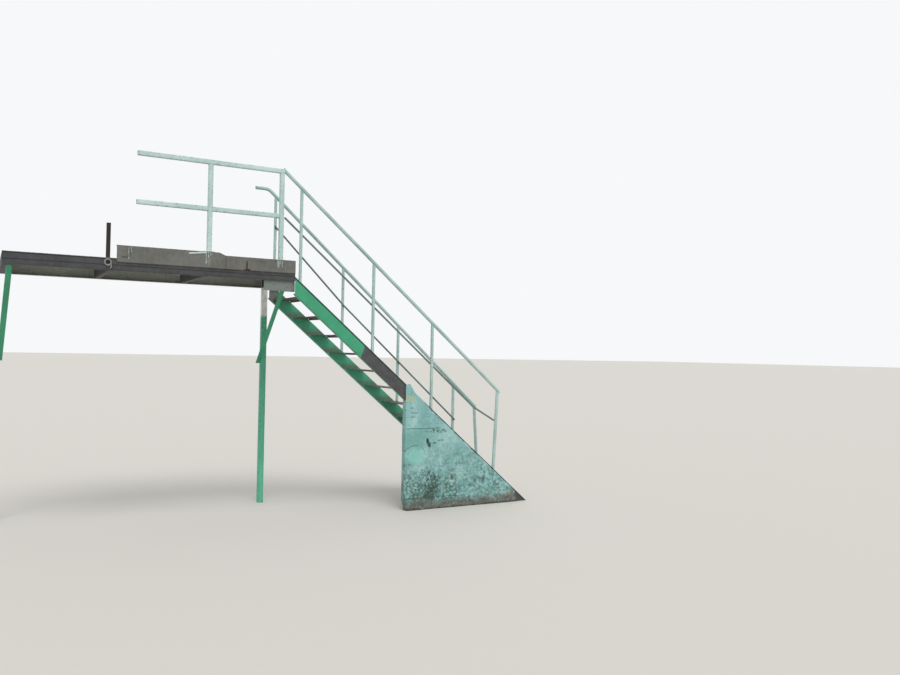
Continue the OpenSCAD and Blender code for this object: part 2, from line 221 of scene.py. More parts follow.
# Sizes of the flight, read off the frame
firstTread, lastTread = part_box("tread_1"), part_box("tread_12")
nearString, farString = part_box("near_stringer"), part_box("far_stringer")
flight = {"treads": 12}
flight["riser"] = (firstTread[1].z - lastTread[1].z) / (flight["treads"] - 1)
flight["going"] = (lastTread[1].x - firstTread[1].x) / (flight["treads"] - 1)
flight["slope"] = flight["riser"] / flight["going"]
flight["angle"] = math.atan(flight["slope"])


def stringTop(x):
    return nearString[1].z - flight["slope"] * (x - nearString[0].x)


# The near stringer's green stops at a slanted brush line; below it the steel is bare
nearLook = {"bareFrom": (-1.193, 1.744), "slant": 0.35, "steel": "#525355", "steelDark": "#414245",
            "steelPale": "#737475", "scuffAndShade": "#6b6c63", "line": "#1c2a24"}


def nearGreen(f):
    look = steelPaint(f, emerald)
    x, y, z = f.axes()
    n = nearLook
    past = x - n["bareFrom"][0] - (z - n["bareFrom"][1]) * n["slant"] + f.noise(22, 2) * 0.03 - 0.015
    unpainted = past.fade(-0.004, 0.004) * y.fade(nearString[0].y + 0.02, nearString[0].y + 0.01)
    steel = f.noise(6, 5, 0.65, (1, 1, 2)).fade(0.3, 0.7)
    steel = f.mix(steel, n["steelDark"], n["steel"])
    steel = f.mix(f.noise(34, 5, 0.7, (1, 1, 0.4)).fade(0.52, 0.72) * 0.35, steel, n["steelPale"])
    over(f, look, unpainted, steel)
    # darker band on the inner face just above each tread: scuffs, and painted shade in the joint
    step = (z - firstTread[1].z) / flight["riser"]
    scuffAndShade = step.math("FRACT").fade(0.5, 0.03) * f.noise(11, 4).fade(0.3, 0.55)
    inside = y.fade(nearString[0].y + 0.002, nearString[0].y + 0.006)
    over(f, look, scuffAndShade * inside * 0.75, n["scuffAndShade"])
    over(f, look, arrisShade(f, x, z) * 0.9, n["line"])
    return look


def arrisShade(f, x, z):  # painted shade: a dark line along the top arris of a stringer
    below = (nearString[1].z - z - (x - nearString[0].x) * flight["slope"]) * math.cos(flight["angle"])
    return (below + (f.noise(40, 3) - 0.5) * 0.006).fade(0.0205, 0.016)


farLook = {"scuffAndShade": "#66695e", "grey": "#77807c", "greyDark": "#5d6562", "greyReach": (0.13, 0.06)}


def farGreen(f):
    look = steelPaint(f, dict(emerald, paint="#4ba985", shade="#429c79", light="#5bb592"))
    x, y, z = f.axes()
    # darker band on the inner face along each tread: painted shadow of the treads, and scuffs
    step = ((z - firstTread[1].z) / flight["riser"]).math("FRACT")
    step = step + (f.noise(9, 3) - 0.5) * 0.3
    scuffAndShade = step.fade(0.42, 0.12) * (f.noise(30, 4, 0.7).fade(0.3, 0.55) * 0.4 + 0.6)
    web = y.fade(farString[0].y + 0.012, farString[0].y + 0.007)
    over(f, look, scuffAndShade * web * 0.8, farLook["scuffAndShade"])
    end, full = farLook["greyReach"]
    grey = x.fade(farString[0].x + end, farString[0].x + full)
    greyed = f.mix(f.noise(14, 3).fade(0.4, 0.6), farLook["greyDark"], farLook["grey"])
    over(f, look, grey, greyed)
    return look


standDustAndLight = {"from": 2.08, "blend": 0.02, "dust": "#f0f0ee", "dustDark": "#d0d1ce", "stains": "#cfc8bd"}


def standGreen(f):
    # lighter emerald than the stringers', and the plaster near white: painted light, as the stand stands in
    # shade
    look = steelPaint(f, dict(emerald, paint="#58b995", shade="#4fab88", light="#7cc9ad"))
    z = f.axes()[2] + f.noise(17, 3) * 0.05
    d = standDustAndLight
    dusty = z.fade(d["from"] - d["blend"], d["from"] + d["blend"])
    thin = f.noise(26, 5, 0.7).fade(0.6, 0.72) * z.fade(0.9, 2.2) * 0.7
    plaster = f.mix(f.noise(8, 4).fade(0.35, 0.65), d["dustDark"], d["dust"])
    plaster = f.mix(f.noise(4, 3, 0.6, (1, 1, 3)).fade(0.55, 0.7) * 0.5, plaster, d["stains"])
    over(f, look, dusty.most(thin), plaster)
    return look


eye = {"x": -3.679, "z": 2.431, "outer": 0.034, "eyeShade": 0.018, "rod": 0.0075, "tail": 0.055}
beamLines = {"kerbShadow": 0.009, "lineDown": 0.058, "lineWide": 0.004, "dark": "#232425"}


def beamGrey(f):  # front beam: painted shade under the kerb, in a dark line along the face and in the lifting ring's centre
    look = steelPaint(f, darkSteel)
    b = beamLines
    x, y, z = f.axes()
    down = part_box("front_beam")[1].z - z + (f.noise(30, 3) - 0.5) * 0.004
    kerbShadow = down.fade(b["kerbShadow"] + 0.004, b["kerbShadow"] - 0.002)
    line = (down - b["lineDown"]).math("ABSOLUTE").fade(b["lineWide"] + 0.003, b["lineWide"] - 0.002)
    front = y.fade(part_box("front_beam")[0].y + 0.003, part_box("front_beam")[0].y + 0.001)
    eyeShade = away(x, z, eye["x"], eye["z"]).fade(eye["outer"], eye["eyeShade"])
    grimeAndShade = (kerbShadow * 0.9).most(line * 0.7).most(eyeShade * 0.8) * front
    over(f, look, grimeAndShade, b["dark"])
    return look


deckLook = {"paint": "#82867f", "shade": "#747871", "light": "#9a9e97", "trodden": "#8d8a83"}


def underGrey(f):  # deck: a pale greenish grey, painted light for its underside that a lamp lights; dusty and trodden on top
    look = steelPaint(f, {**darkSteel, **deckLook})
    z = f.axes()[2]
    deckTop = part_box("deck_plate")[1].z
    onTop = z.fade(deckTop - 0.003, deckTop - 0.001)
    trodden = f.noise(3, 4, 0.6, (1, 2, 1)).fade(0.35, 0.6)
    over(f, look, onTop * trodden * 0.7, deckLook["trodden"])
    return look


# Painted shade along the kerb's foot, and smudges on its face: x, z, width, height, amount, tone
kerbFootShade = "#3b3b3a"
kerbMarks = [
    (-3.50, 2.52, 0.022, 0.07, 0.45, "#474947"),
    (-3.535, 2.487, 0.05, 0.016, 0.6, "#3f413f"),
    (-2.392, 2.450, 0.026, 0.010, 0.8, "#8a655b"),
    (-2.440, 2.490, 0.011, 0.048, 0.9, "#333533"),
    (-2.430, 2.447, 0.042, 0.010, 0.9, "#333533"),
    (-2.30, 2.53, 0.09, 0.03, 0.5, "#55564f"),
    (-2.13, 2.52, 0.02, 0.05, 0.6, "#a9bdb4"),
    (-2.16, 2.55, 0.012, 0.03, 0.8, "#4d5552"),
    (-2.80, 2.50, 0.02, 0.07, 0.35, "#9a9c96")]


def kerbGrey(f):
    look = steelPaint(f, kerbSteel)
    x, _, z = f.axes()
    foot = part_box("kerb_low")[0].z
    over(f, look, z.fade(foot + 0.012, foot + 0.002) * 0.7, kerbFootShade)
    for mx, mz, wide, tall, amount, markTone in kerbMarks:
        mark = (oval(x, z, mx, mz, wide, tall) + f.noise(34, 3) * 0.9).fade(1.25, 0.5)
        over(f, look, mark * amount, markTone)
    return look


# Turquoise render with listed marks on the wall's face: x, z, width and height in metres, tone,
# amount, and grain, which breaks a mark up into speckles
wallLook = {
    "paint": "#95c3c2", "shade": "#7eb0ae", "light": "#b6d8d6", "pale": "#cadfdd", "deep": "#507d79",
    "teal": "#70a5a0", "moss": "#5a877f", "worn": "#50685f", "speck": "#3d5a54", "dirt": "#5a5a52",
    "dirtPale": "#75766e", "soot": "#4b463f", "mortar": "#8c9791",
    "patches": [
        (-0.675, 1.185, 0.085, 0.045, "#b3bd93", 0.9, 0.3),
        (-0.60, 0.76, 0.17, 0.14, "#6ea59c", 0.6, 0.2),
        (-0.60, 0.575, 0.15, 0.105, "#8ccabf", 0.85, 0.15),
        (-0.33, 0.84, 0.16, 0.035, "#3b5a52", 0.9, 1.0),
        (-0.443, 0.735, 0.020, 0.035, "#27312f", 1.0, 0.1),
        (-0.422, 0.69, 0.024, 0.035, "#2b3634", 1.0, 0.2),
        (-0.36, 0.708, 0.035, 0.014, "#34564c", 1.0, 0.6),
        (-0.285, 0.735, 0.045, 0.014, "#34564c", 0.95, 0.7),
        (-0.40, 0.24, 0.17, 0.21, "#3f544c", 1.0, 0.85),
        (-0.41, 0.11, 0.13, 0.12, "#46564c", 0.9, 0.7),
        (-0.40, 0.19, 0.07, 0.13, "#3a4a43", 0.7, 0.4),
        (-0.348, 0.335, 0.020, 0.045, "#2a3733", 0.95, 0.2),
        (-0.62, 0.20, 0.15, 0.22, "#567068", 0.9, 0.85),
        (-0.15, 0.18, 0.17, 0.17, "#4f7068", 0.8, 0.95),
        (-0.136, 0.338, 0.016, 0.036, "#2f4640", 0.95, 0.3),
        (0.17, 0.302, 0.075, 0.028, "#526d73", 0.85, 0.5),
        (0.266, 0.292, 0.016, 0.045, "#3f575b", 0.9, 0.3),
        (0.121, 0.225, 0.025, 0.03, "#6b858b", 0.7, 0.5),
        (0.244, 0.395, 0.012, 0.016, "#375049", 0.95, 0.2),
        (0.459, 0.177, 0.05, 0.010, "#3f7062", 0.8, 0.4),
        (0.255, 0.045, 0.018, 0.018, "#252c2a", 1.0, 0.1),
        (0.62, 0.07, 0.07, 0.075, "#a3968c", 0.85, 0.5),
        (0.34, 0.14, 0.30, 0.10, "#69918a", 0.6, 0.9),
        (-0.03, 0.37, 0.07, 0.12, "#a9d6ce", 0.6, 0.4),
        (-0.14, 0.285, 0.04, 0.014, "#b8d8cf", 0.8, 0.3)],
    "cracks": [(0.868, -0.72, -0.28), (1.088, -0.68, -0.60), (1.035, -0.66, -0.55), (0.992, -0.67, -0.58),
               (0.125, -0.72, 0.05), (0.507, 0.03, 0.06)],
    "repair": (-0.60, 0.54, 0.145),
    "footDirt": 0.085}


def turquoise(f):
    w = wallLook
    x, y, z = f.axes()
    color = f.mix(f.noise(2.6, 5, 0.6).fade(0.35, 0.65), w["shade"], w["paint"])
    color = f.mix(f.noise(7, 5, 0.65, (1, 1, 0.6)).fade(0.48, 0.7) * 0.7, color, w["light"])
    color = f.mix(f.noise(16, 4, 0.7).fade(0.6, 0.75) * 0.7, color, w["pale"])
    color = f.mix(f.noise(13, 5, 0.72, (1, 1, 0.8)).fade(0.54, 0.68) * 0.55, color, w["teal"])
    lowDown = z.fade(0.8, 0.2)
    streaks = f.noise(15, 5, 0.72, (1.5, 1.5, 0.8)).fade(0.52, 0.66) * (lowDown * 0.55 + 0.15)
    color = f.mix(streaks, color, w["deep"])
    color = f.mix(f.noise(5, 4, 0.65).fade(0.4, 0.62) * lowDown * 0.4, color, w["moss"])
    color = f.mix(f.noise(10, 6, 0.75).fade(0.5, 0.6) * lowDown * 0.7, color, w["worn"])
    fine = f.noise(34, 5, 0.78)
    color = f.mix(fine.fade(0.52, 0.63) * (lowDown * 0.75 + 0.15), color, w["deep"])
    color = f.mix(fine.fade(0.47, 0.38) * (lowDown * 0.45 + 0.12), color, w["pale"])
    specks = f.noise(75, 3, 0.7).fade(0.6, 0.66) * f.noise(5, 3).fade(0.4, 0.6) * (0.3 + lowDown * 0.7)
    color = f.mix(specks * 0.85, color, w["speck"])
    ragged = f.noise(17, 4, 0.7) * 1.6 + f.noise(46, 5, 0.75) * 2.4
    broken = fine.fade(0.46, 0.56)
    for px, pz, wide, tall, markTone, amount, grain in w["patches"]:
        mask = (oval(x, z, px, pz, wide, tall) + ragged).fade(3.05, 2.15) * (broken * grain + (1 - grain))
        color = f.mix(mask * amount, color, markTone)
    waves = (f.noise(5, 2, 0.5, (1, 1, 0)) - 0.5) * 0.03 + (f.noise(40, 2, 0.5, (1, 1, 0)) - 0.5) * 0.008
    lines = 0
    for height, left, right in w["cracks"]:
        off = (z - height + waves).math("ABSOLUTE")
        lines = off.fade(0.0045, 0.0015) * x.fade(left, left + 0.03) * x.fade(right, right - 0.03) + lines
    lines = lines * f.noise(26, 3, 0.6).fade(0.32, 0.5)
    cx, cz, radius = w["repair"]
    ring = (away(x, z, cx, cz) - radius + (f.noise(9, 3) - 0.5) * 0.05).math("ABSOLUTE").fade(0.005, 0.0015)
    ring = ring * z.fade(cz - 0.05, cz + 0.04) * f.noise(21, 3).fade(0.35, 0.55)
    color = f.mix((lines + ring * 0.7).least(1) * 0.8, color, w["speck"])
    front = f.node("CombineXYZ", {}, {0: x, 1: z + f.noise(3, 2) * 0.02})
    courses = f.node("TexBrick", {"offset": 0.5}, {
        "Vector": front, "Scale": 1.0, "Mortar Size": 0.006, "Mortar Smooth": 1.0, "Brick Width": 0.26,
        "Row Height": 0.077}, 1)
    joints = courses * f.noise(9, 3).fade(0.5, 0.62) * z.fade(0.8, 0.95)
    color = f.mix(joints * 0.4, color, w["deep"])
    damp = (z + f.noise(8, 4, 0.6) * 0.14 - 0.07).fade(w["footDirt"] + 0.045, w["footDirt"] - 0.03)
    color = f.mix(damp * (fine.fade(0.35, 0.6) * 0.3 + 0.7), color,
                  f.mix(f.noise(25, 4).fade(0.4, 0.6), w["dirt"], w["dirtPale"]))
    color = f.mix((z + f.noise(14, 3) * 0.04).fade(0.05, 0.022) * 0.8, color, w["soot"])
    inner = y.fade(-0.02, 0.03)  # back and cut faces: greyer, raw mortar shows
    color = f.mix(inner * f.noise(4, 4).fade(0.4, 0.6) * 0.5, color, w["mortar"])
    height = f.noise(9, 5, 0.6) * 1.2 + fine * 0.9 + f.noise(300, 2) * 0.12
    height = height - (lines + ring) * 0.8 - joints * 0.35 - specks * 0.5
    rough = 0.78 + f.noise(30, 3) * 0.15
    return {"color": color, "rough": rough, "bump": height, "depth": 0.004}


treadPolish = {"tone": "#8a8680", "edge": (0.05, 0.25)}


def treadBrown(f):
    look = steelPaint(f, treadSteel)
    x, y, _ = f.axes()
    front = ((x - firstTread[1].x) / flight["going"]).math("FRACT")
    left, right = nearString[1].y, farString[0].y
    a, b = treadPolish["edge"]
    walked = y.fade(left + a, left + b) * y.fade(right - a, right - b)
    polish = front.fade(0.7, 0.96) * walked * f.noise(13, 4, 0.6, (1, 0.4, 1)).fade(0.3, 0.6)
    over(f, look, polish * 0.6, treadPolish["tone"])
    look["rough"] = look["rough"] - polish * 0.18
    look["metal"] = polish * 0.5
    studs = f.node("TexVoronoi", {"feature": "F1"}, {"Vector": f.place(), "Scale": 70})
    look["bump"] = look["bump"] + studs.fade(0.35, 0.1) * 0.25
    return look


weldLook = {"steel": "#7a736c", "dark": "#5b5652", "rust": "#6c4a38"}


def weldGrey(f):
    scale = f.noise(120, 3).fade(0.35, 0.65)
    color = f.mix(scale, weldLook["dark"], weldLook["steel"])
    color = f.mix(f.noise(30, 3).fade(0.5, 0.65) * 0.8, color, weldLook["rust"])
    return {"color": color, "rough": 0.5 + scale * 0.2, "metal": 0.35 - scale * 0.1, "bump": scale,
            "depth": 0.0004}


def paintedWeld(p):
    def paint(f):
        look = steelPaint(f, dict(p, runs=0.35, chips=1.0))
        over(f, look, f.noise(55, 3).fade(0.5, 0.64) * 0.5, p["rust"])
        return look

    return paint


painted = {"Specular IOR Level": 0.4, "Coat Weight": 0.08, "Coat Roughness": 0.35}
matt = {"Specular IOR Level": 0.25}
finishes = {  # how each one is painted, and its gloss
    "emeraldNear": (nearGreen, painted),
    "emeraldFar": (farGreen, painted),
    "emeraldStand": (standGreen, painted),
    "emeraldBrace": (coat(emerald, paint="#3aa279", shade="#32946d"), painted),
    "mintRail": (coat(mint), painted),
    "greyMint": (coat(greyMint), painted),
    "mintGuard": (coat(guardMint), painted),
    "darkSteel": (coat(darkSteel), matt),
    "frontBeam": (beamGrey, matt),
    "paleLitSteel": (coat(paleLitSteel), matt),
    "ringSteel": (coat(paleLitSteel, paint="#8b8d8b", shade="#767877"), matt),
    "deckSteel": (underGrey, matt),
    "kerbSteel": (kerbGrey, matt),
    "plateGrey": (coat(plateGrey), matt),
    "stubBrown": (coat(brown), matt),
    "treadSteel": (treadBrown, matt),
    "render": (turquoise, {"Specular IOR Level": 0.2}),
    "weld": (weldGrey, matt),
    "mintWeld": (paintedWeld(guardMint), painted),
    "greenWeld": (paintedWeld(emerald), painted)}
materials = {name: makeMaterial(name, paint, gloss) for name, (paint, gloss) in finishes.items()}
print("materials made:", len(materials))


# Mesh building: a Shape gathers bars, pipes and weld beads and becomes one piece
sharpAngle = math.radians(35)
endLoop = 0.012  # a loop this close to a bar's cut end keeps the wear at the end
beadSides = 7


class Shape:
    def __init__(self):
        self.verts, self.faces, self.worn = [], [], []

    def skin(self, rings, worn, closedEnds=True):  # equal loops of points, and the same layout with wear
        first, n = len(self.verts), len(rings[0])
        for ring, marks in zip(rings, worn):
            self.verts += ring
            self.worn += marks
        for r in range(len(rings) - 1):
            a, b = first + r * n, first + (r + 1) * n
            self.faces += [(a + i, a + (i + 1) % n, b + (i + 1) % n, b + i) for i in range(n)]
        if closedEnds:
            self.faces.append(tuple(range(first + n - 1, first - 1, -1)))
            last = first + (len(rings) - 1) * n
            self.faces.append(tuple(range(last, last + n)))
        return first, n

    def rims(self, outer, inner, last, n):  # join an outer skin to an inner, reversed one at both ends
        for i in range(n):
            j = (i + 1) % n
            a, b = inner + n - 1 - i, inner + n - 1 - j
            self.faces.append((outer + j, outer + i, a, b))
            self.faces.append((outer + last + i, outer + last + j, b + last, a + last))

    # Straight bar: the outline (a, b, worn) lies across start to end, whose cuts may slant
    def bar(self, outline, start, end, side, up, cuts=(None, None), hole=None, sway=None, gap=0.2):
        along = (end - start).normalized()
        length = (end - start).length
        near = [0, min(endLoop / length, 0.3)]
        count = max(1, round(length / gap))
        share = near + [i / count for i in range(1, count)] + [1 - s for s in reversed(near)]

        def loop(points, back):
            rings, marks = [], []
            for s in share:
                ring = []
                for a, b, _ in points:
                    base = start + a * side + b * up
                    ends = []
                    for origin, cut in zip((start, end), cuts):
                        normal = cut or along
                        ends.append(base + along * ((origin - base).dot(normal) / along.dot(normal)))
                    spot = ends[0].lerp(ends[1], s)
                    ring.append(spot + sway(spot) if sway else spot)
                rings.append(ring)
                marks.append([1.0 if s in (0, 1) else p[2] for p in points])
            if back:
                rings, marks = [list(reversed(r)) for r in rings], [list(reversed(m)) for m in marks]
            return rings, marks

        outer, n = self.skin(*loop(outline, False), closedEnds=hole is None)
        if hole:
            inner, n = self.skin(*loop(hole, True), closedEnds=False)
            self.rims(outer, inner, (len(share) - 1) * n, n)

    # Pipe along a chain of points, open at both ends when it has a wall
    def pipe(self, chain, radius, wall=None, sides=20, cuts=(None, None), worn=0.0):
        loops = []
        for r in [radius, radius - wall] if wall else [radius]:
            rings = []
            side = None
            for i, p in enumerate(chain):
                before = (p - chain[i - 1]).normalized() if i else None
                after = (chain[i + 1] - p).normalized() if i + 1 < len(chain) else before
                heading = before or after
                if side is None:
                    side = after.orthogonal().normalized()
                plane = (heading + after).normalized()
                if i == 0 and cuts[0]:
                    plane = cuts[0]
                if i + 1 == len(chain) and cuts[1]:
                    plane = cuts[1]
                side = (side - heading * side.dot(heading)).normalized()
                up = heading.cross(side)
                ring = []
                for k in range(sides):
                    t = 2 * math.pi * k / sides
                    q = p + r * (math.cos(t) * side + math.sin(t) * up)
                    ring.append(q + heading * ((p - q).dot(plane) / heading.dot(plane)))
                rings.append(ring)
            loops.append(rings)
        marks = [[worn] * sides for _ in chain]
        marks[0] = marks[-1] = [1.0] * sides
        outer, n = self.skin(loops[0], marks, closedEnds=wall is None)
        if wall:
            inner, n = self.skin([list(reversed(r)) for r in loops[1]], marks, closedEnds=False)
            self.rims(outer, inner, (len(chain) - 1) * n, n)

    # Rippled weld bead along a chain of corners
    def bead(self, chain, radius, closed=False):
        corners = chain + [chain[0]] if closed else chain
        step = radius * 0.8
        path = []
        for a, b in zip(corners, corners[1:]):
            count = max(1, int((b - a).length / step))
            path += [a.lerp(b, i / count) for i in range(count)]
        path.append(corners[-1])
        rings = []
        for i, p in enumerate(path):
            heading = (path[min(i + 1, len(path) - 1)] - path[max(i - 1, 0)]).normalized()
            side = heading.orthogonal().normalized()
            up = heading.cross(side)
            swell = radius * (0.86 + 0.2 * abs(math.sin(i * 1.1)) + 0.3 * noise.noise(p * 60))
            swell *= 0.35 if i in (0, len(path) - 1) else 1
            turns = [2 * math.pi * k / beadSides for k in range(beadSides)]
            rings.append([p + swell * (math.cos(t) * side + math.sin(t) * up) for t in turns])
        self.skin(rings, [[0.3] * beadSides for _ in rings])

    def piece(self, name, material, slotName, replaced=()):
        mesh = bpy.data.meshes.new(name)
        mesh.from_pydata([tuple(v) for v in self.verts], [], self.faces)
        marks = mesh.attributes.new("wear", "FLOAT", "POINT")
        marks.data.foreach_set("value", self.worn)
        mesh.materials.append(materials[material])
        obj = bpy.data.objects.new(name, mesh)
        bpy.context.scene.collection.objects.link(obj)
        outward = bmesh.new()
        outward.from_mesh(mesh)
        bmesh.ops.recalc_face_normals(outward, faces=outward.faces)
        outward.to_mesh(mesh)
        outward.free()
        mesh.shade_smooth()
        mesh.set_sharp_from_angle(angle=sharpAngle)
        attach(obj, "root")
        if replaced:
            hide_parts(*replaced)


def arcPoints(a, corner, b, radius, count):
    # points of the arc that rounds the corner between two straight runs
    inward, outward = (a - corner).normalized(), (b - corner).normalized()
    half = inward.angle(outward) / 2
    cut = radius / math.tan(half)
    middle = corner + (inward + outward).normalized() * (radius / math.sin(half))
    start, end = corner + inward * cut - middle, corner + outward * cut - middle
    turn = start.angle(end)
    shares = [turn * i / count for i in range(count + 1)]
    return [middle + (math.sin(turn - t) * start + math.sin(t) * end) / math.sin(turn) for t in shares]


# Outline with rounded corners given as (x, y, radius); an outward corner counts as worn
def rounded(corners, margin=0.008, count=3):
    spots = [Vector((x, y, 0)) for x, y, r in corners]
    n = len(spots)
    area = sum(spots[i - 1].cross(spots[i]).z for i in range(n))
    points = []
    for i, here in enumerate(spots):
        before, after = spots[i - 1], spots[(i + 1) % n]
        outer = (here - before).cross(after - here).z * area > 0
        r = corners[i][2]
        arc = arcPoints(before, here, after, r, count) if r else [here]
        if outer and (before - arc[0]).length > 3 * margin:
            points.append((*(arc[0] + (before - here).normalized() * margin).xy, 0.0))
        points += [(*p.xy, 1.0 if outer else 0.0) for p in arc]
        if outer and (after - arc[-1]).length > 3 * margin:
            points.append((*(arc[-1] + (after - here).normalized() * margin).xy, 0.0))
    return points


def plateLoop(wide, tall, r):
    return rounded([(0, 0, r), (wide, 0, r), (wide, tall, r), (0, tall, r)])


def squareLoop(size, r):
    h = size / 2
    return rounded([(-h, -h, r), (h, -h, r), (h, h, r), (-h, h, r)])


xAxis, yAxis, zAxis = Vector((1, 0, 0)), Vector((0, 1, 0)), Vector((0, 0, 1))
slopeUp = Vector((math.sin(flight["angle"]), 0, math.cos(flight["angle"])))

# Stringers: rolled channels with rounded toes and inner fillets
stringer = {"height": 0.133, "flange": 0.05, "web": 0.006, "thick": 0.008, "toe": 0.0025, "fillet": 0.006,
            "dent": 0.0012}


def channelLoop(height, channel):
    flange, web, thick, toe, fillet = (channel[k] for k in ("flange", "web", "thick", "toe", "fillet"))
    thin, heel = thick * 0.72, 0.003  # a rolled flange tapers to its toe
    return rounded([(0, 0, heel), (flange, 0, toe), (flange, thin, toe), (web, thick, fillet),
                    (web, height - thick, fillet), (flange, height - thin, toe), (flange, height, toe),
                    (0, height, heel)])


def makeStringer(name, node, box, material):
    s = stringer
    rise = s["height"] / math.cos(flight["angle"])
    start = Vector((box[0].x, box[0].y, box[1].z - rise))
    end = Vector((box[0].x + (start.z - box[0].z) / flight["slope"], box[0].y, box[0].z))

    def dent(p):  # the flanges have been knocked a little near their toes
        if p.y < box[0].y + 0.03 or p.y > box[1].y - 0.002:
            return Vector()
        return yAxis * s["dent"] * max(0, noise.noise(p * 3.1))

    shape = Shape()
    shape.bar(channelLoop(s["height"], s), start, end, yAxis, slopeUp, cuts=(xAxis, zAxis), sway=dent)
    shape.piece(name, material, "emerald_paint", [node])


makeStringer("nearStringer", "near_stringer", nearString, "emeraldNear")
makeStringer("farStringer", "far_stringer", farString, "emeraldFar")

# Treads: plates folded down at the nosing, each with its own slight sag and dented lip
tread = {"thick": 0.006, "lip": 0.022, "fold": 0.008, "lipEdge": 0.0015, "backEdge": 0.001, "sag": 0.0015,
         "bend": 0.0025}


def treadLoop(depth):
    t, lip, r = tread["thick"], tread["lip"], tread["fold"]
    edge, back = tread["lipEdge"], tread["backEdge"]
    return rounded([(-depth, 0, back), (0, 0, r), (0, -lip, edge), (-t, -lip, edge), (-t, -t, r - t),
                    (-depth, -t, back)], 0.012, 4)


for k in range(1, flight["treads"] + 1):
    low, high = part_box("tread_%d" % k)
    shape = Shape()

    def sag(p, low=low, high=high, k=k):
        middle = math.sin(math.pi * max(0, min(1, (p.y - low.y) / (high.y - low.y))))
        front = max(0, (p.x - low.x) / (high.x - low.x))
        dent = noise.noise(Vector((k * 3.7, p.y * 4, 0))) * tread["bend"] * front
        return Vector((-abs(dent) * middle, 0, -tread["sag"] * middle * front - abs(dent) * 0.5 * middle))

    nosing = Vector((high.x, low.y, high.z))
    shape.bar(treadLoop(high.x - low.x), nosing, high, xAxis, zAxis, sway=sag, gap=0.04)
    shape.piece("tread%02d" % k, "treadSteel", "worn_tread_steel", ["tread_%d" % k])
print("flight made")


# Centre line of a sloping bar that is cut upright at both ends, from its node's box
def slopedLine(node, radius):
    low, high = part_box(node)
    angle = flight["angle"]
    for _ in range(6):
        reach = radius / math.cos(angle)
        angle = math.atan((high.z - low.z - 2 * reach) / (high.x - low.x))
    y = (low.y + high.y) / 2
    return Vector((low.x, y, high.z - reach)), Vector((high.x, y, low.z + reach))


rail = {"radius": 0.018, "wall": 0.003, "bendFromLanding": 0.026, "bendRadius": 0.11, "dent": 0.0015}
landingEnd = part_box("kerb_low")[1].x


def runs(chain, gap=0.12):  # more points on long straight runs, and one close to each cut end
    out = []
    for a, b in zip(chain, chain[1:]):
        count = max(1, round((b - a).length / gap))
        out += [a.lerp(b, i / count) for i in range(count)]
    out.append(chain[-1])
    tip = (out[1] - out[0]).normalized() * endLoop
    heel = (out[-2] - out[-1]).normalized() * endLoop
    return [out[0], out[0] + tip] + out[1:-1] + [out[-1] + heel, out[-1]]


def wander(chain, amount):  # a slight wander, so that a pipe isn't dead straight
    def drift(p):
        return Vector((0, noise.noise(p * 1.3), noise.noise(p * 1.7 + yAxis * 5)))

    return [chain[0]] + [p + drift(p) * amount for p in chain[1:-1]] + [chain[-1]]


def farLine():
    low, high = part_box("far_handrail")
    y = (low.y + high.y) / 2
    level = Vector((low.x, y, high.z - rail["radius"]))
    corner = Vector((landingEnd - rail["bendFromLanding"], y, level.z))
    angle = flight["angle"]
    for _ in range(6):
        reach = rail["radius"] / math.cos(angle)
        angle = math.atan((corner.z - low.z - reach) / (high.x - corner.x))
    return level, corner, Vector((high.x, y, low.z + reach))


nearTop, nearFoot = slopedLine("near_handrail", rail["radius"])
farLevel, farCorner, farFoot = farLine()
nearDrop = (nearTop.z - nearFoot.z) / (nearFoot.x - nearTop.x)
farDrop = (farCorner.z - farFoot.z) / (farFoot.x - farCorner.x)


def nearRailZ(x):
    return nearTop.z - nearDrop * (x - nearTop.x)


def farRailZ(x):
    return farCorner.z - farDrop * (x - farCorner.x)


shape = Shape()
shape.pipe(wander(runs([nearTop, nearFoot]), rail["dent"]), rail["radius"], rail["wall"], cuts=(xAxis, xAxis))
shape.piece("nearHandrail", "mintRail", "mint_rail_paint", ["near_handrail"])
shape = Shape()
bend = arcPoints(farLevel, farCorner, farFoot, rail["bendRadius"], 8)
chain = [farLevel] + bend[:-1] + wander(runs([bend[-1], farFoot]), rail["dent"])
shape.pipe(chain, rail["radius"], rail["wall"], cuts=(None, xAxis))
shape.piece("farHandrail", "mintRail", "mint_rail_paint", ["far_handrail"])


# End posts lean: top and foot come from the node's box and the way it leans
def endPost(name, node, lean, drop, railZ):
    low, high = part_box(node)
    r = rail["radius"]
    y = (low.y + high.y) / 2
    topX, footX = (low.x + r, high.x - r) if lean > 0 else (high.x - r, low.x + r)
    top = Vector((topX, y, railZ(topX) - r / math.cos(math.atan(drop))))
    foot = Vector((footX, y, stringTop(footX)))
    shape = Shape()
    shape.pipe(wander(runs([foot, top], 0.15), 0.001), r, rail["wall"],
               cuts=(slopeUp, Vector((drop, 0, 1)).normalized()))
    shape.piece(name, "mintRail", "mint_rail_paint", [node])
    return foot


nearPostFoot = endPost("nearEndPost", "near_end_post", -1, nearDrop, nearRailZ)
farPostFoot = endPost("farEndPost", "far_end_post", 1, farDrop, farRailZ)

